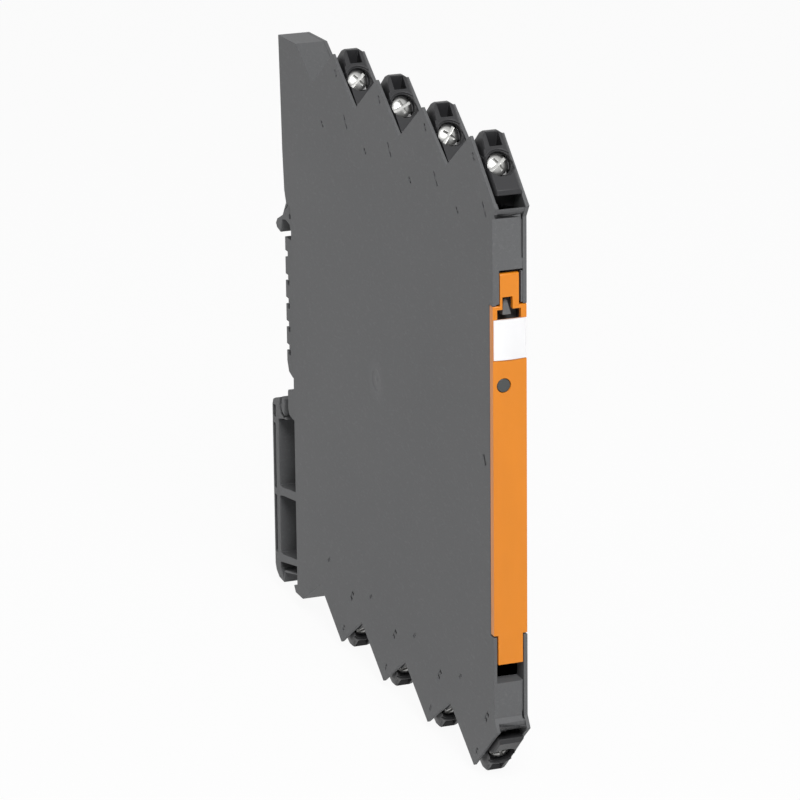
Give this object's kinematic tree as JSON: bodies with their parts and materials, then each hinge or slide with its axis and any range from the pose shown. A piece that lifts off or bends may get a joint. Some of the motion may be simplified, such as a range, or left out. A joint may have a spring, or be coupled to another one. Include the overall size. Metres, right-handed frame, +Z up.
{
  "type": "signal conditioner",
  "caption": "Slim rail-mounted signal conditioner with sawtooth screw terminals top and bottom, a hinged front flap, a rail hook and a sliding foot.",
  "frame": {"origin": "middle of the 35 mm rail on the plane of its front face, halfway across the housing's width", "axes": "+Y from the front towards the rail, +Z up along the housing, +X to the right seen from the front"},
  "size_m": [0.006, 0.1143, 0.1126],
  "materials": {
    "housing_plastic": "fine eroded dark grey moulding",
    "flap_plastic": "smooth orange moulding",
    "tag_plastic": "white satin tag",
    "light_guide": "unlit smoke grey light guide",
    "terminal_plastic": "near-black moulding",
    "zinc_screw": "zinc plated steel",
    "clamp_steel": "plated steel strip",
    "tinned_copper": "tinned copper strip",
    "led_body": "clear lens on a white body",
    "board_laminate": "green solder resist",
    "ferrite": "sintered ferrite",
    "coil_copper": "enamelled copper",
    "chip_body": "black moulded package",
    "capacitor_body": "tan moulded package",
    "gold_contact": "gold flashed spring contact"
  },
  "bodies": {
    "housing": {"base_shell": "housing_plastic", "side_cover": "housing_plastic", "status_led": "led_body", "main_board": "board_laminate", "transformer_core": "ferrite", "transformer_coil": "coil_copper", "processor_chip": "chip_body", "converter_chip": "chip_body", "capacitors": "capacitor_body", "bus_contacts": "gold_contact", "light_pipe": "light_guide", "terminal_block_1": "terminal_plastic", "terminal_block_2": "terminal_plastic", "terminal_block_3": "terminal_plastic", "terminal_block_4": "terminal_plastic", "terminal_block_5": "terminal_plastic", "terminal_block_6": "terminal_plastic", "terminal_block_7": "terminal_plastic", "terminal_block_8": "terminal_plastic", "contact_bar_1": "tinned_copper", "contact_bar_2": "tinned_copper", "contact_bar_3": "tinned_copper", "contact_bar_4": "tinned_copper", "contact_bar_5": "tinned_copper", "contact_bar_6": "tinned_copper", "contact_bar_7": "tinned_copper", "contact_bar_8": "tinned_copper"},
    "flap": {"front_flap": "flap_plastic", "marker_tag": "tag_plastic"},
    "foot": {"rail_foot": "housing_plastic"},
    "screw_1": {"terminal_screw_1": "zinc_screw"},
    "yoke_1": {"clamp_yoke_1": "clamp_steel"},
    "screw_2": {"terminal_screw_2": "zinc_screw"},
    "yoke_2": {"clamp_yoke_2": "clamp_steel"},
    "screw_3": {"terminal_screw_3": "zinc_screw"},
    "yoke_3": {"clamp_yoke_3": "clamp_steel"},
    "screw_4": {"terminal_screw_4": "zinc_screw"},
    "yoke_4": {"clamp_yoke_4": "clamp_steel"},
    "screw_5": {"terminal_screw_5": "zinc_screw"},
    "yoke_5": {"clamp_yoke_5": "clamp_steel"},
    "screw_6": {"terminal_screw_6": "zinc_screw"},
    "yoke_6": {"clamp_yoke_6": "clamp_steel"},
    "screw_7": {"terminal_screw_7": "zinc_screw"},
    "yoke_7": {"clamp_yoke_7": "clamp_steel"},
    "screw_8": {"terminal_screw_8": "zinc_screw"},
    "yoke_8": {"clamp_yoke_8": "clamp_steel"}
  },
  "joints": [
    {"name": "flap_hinge", "type": "hinge", "parent": "housing", "child": "flap", "pos_m": [0, -0.1029, -0.0315], "axis": [1, 0, 0], "range_deg": [0, 95]},
    {"name": "foot_slide", "type": "slide", "parent": "housing", "child": "foot", "axis": [0, 0, -1], "range_m": [0, 0.0017], "stiffness_N_per_m": 1000},
    {"name": "screw_1_turn", "type": "hinge", "parent": "housing", "child": "screw_1", "pos_m": [-0.00005, -0.10045, 0.05281], "axis": [0, -0.9063, 0.4226], "range_deg": [-521, 0]},
    {"name": "yoke_1_slide", "type": "slide", "parent": "housing", "child": "yoke_1", "axis": [0, -0.9063, 0.4226], "range_m": [0, 0.00065]},
    {"name": "screw_2_turn", "type": "hinge", "parent": "housing", "child": "screw_2", "pos_m": [-0.00005, -0.07855, 0.05281], "axis": [0, -0.9063, 0.4226], "range_deg": [-521, 0]},
    {"name": "yoke_2_slide", "type": "slide", "parent": "housing", "child": "yoke_2", "axis": [0, -0.9063, 0.4226], "range_m": [0, 0.00065]},
    {"name": "screw_3_turn", "type": "hinge", "parent": "housing", "child": "screw_3", "pos_m": [-0.00005, -0.05665, 0.05281], "axis": [0, -0.9063, 0.4226], "range_deg": [-521, 0]},
    {"name": "yoke_3_slide", "type": "slide", "parent": "housing", "child": "yoke_3", "axis": [0, -0.9063, 0.4226], "range_m": [0, 0.00065]},
    {"name": "screw_4_turn", "type": "hinge", "parent": "housing", "child": "screw_4", "pos_m": [-0.00005, -0.03475, 0.05281], "axis": [0, -0.9063, 0.4226], "range_deg": [-521, 0]},
    {"name": "yoke_4_slide", "type": "slide", "parent": "housing", "child": "yoke_4", "axis": [0, -0.9063, 0.4226], "range_m": [0, 0.00065]},
    {"name": "screw_5_turn", "type": "hinge", "parent": "housing", "child": "screw_5", "pos_m": [-0.00005, -0.10045, -0.05081], "axis": [0, -0.9063, -0.4226], "range_deg": [-521, 0]},
    {"name": "yoke_5_slide", "type": "slide", "parent": "housing", "child": "yoke_5", "axis": [0, -0.9063, -0.4226], "range_m": [0, 0.00065]},
    {"name": "screw_6_turn", "type": "hinge", "parent": "housing", "child": "screw_6", "pos_m": [-0.00005, -0.07855, -0.05081], "axis": [0, -0.9063, -0.4226], "range_deg": [-521, 0]},
    {"name": "yoke_6_slide", "type": "slide", "parent": "housing", "child": "yoke_6", "axis": [0, -0.9063, -0.4226], "range_m": [0, 0.00065]},
    {"name": "screw_7_turn", "type": "hinge", "parent": "housing", "child": "screw_7", "pos_m": [-0.00005, -0.05665, -0.05081], "axis": [0, -0.9063, -0.4226], "range_deg": [-521, 0]},
    {"name": "yoke_7_slide", "type": "slide", "parent": "housing", "child": "yoke_7", "axis": [0, -0.9063, -0.4226], "range_m": [0, 0.00065]},
    {"name": "screw_8_turn", "type": "hinge", "parent": "housing", "child": "screw_8", "pos_m": [-0.00005, -0.03475, -0.05081], "axis": [0, -0.9063, -0.4226], "range_deg": [-521, 0]},
    {"name": "yoke_8_slide", "type": "slide", "parent": "housing", "child": "yoke_8", "axis": [0, -0.9063, -0.4226], "range_m": [0, 0.00065]}
  ],
  "couplings": [
    {"joint": "screw_1_turn", "follows": "yoke_1_slide", "rad_per_m": -13963},
    {"joint": "screw_2_turn", "follows": "yoke_2_slide", "rad_per_m": -13963},
    {"joint": "screw_3_turn", "follows": "yoke_3_slide", "rad_per_m": -13963},
    {"joint": "screw_4_turn", "follows": "yoke_4_slide", "rad_per_m": -13963},
    {"joint": "screw_5_turn", "follows": "yoke_5_slide", "rad_per_m": -13963},
    {"joint": "screw_6_turn", "follows": "yoke_6_slide", "rad_per_m": -13963},
    {"joint": "screw_7_turn", "follows": "yoke_7_slide", "rad_per_m": -13963},
    {"joint": "screw_8_turn", "follows": "yoke_8_slide", "rad_per_m": -13963}
  ]
}
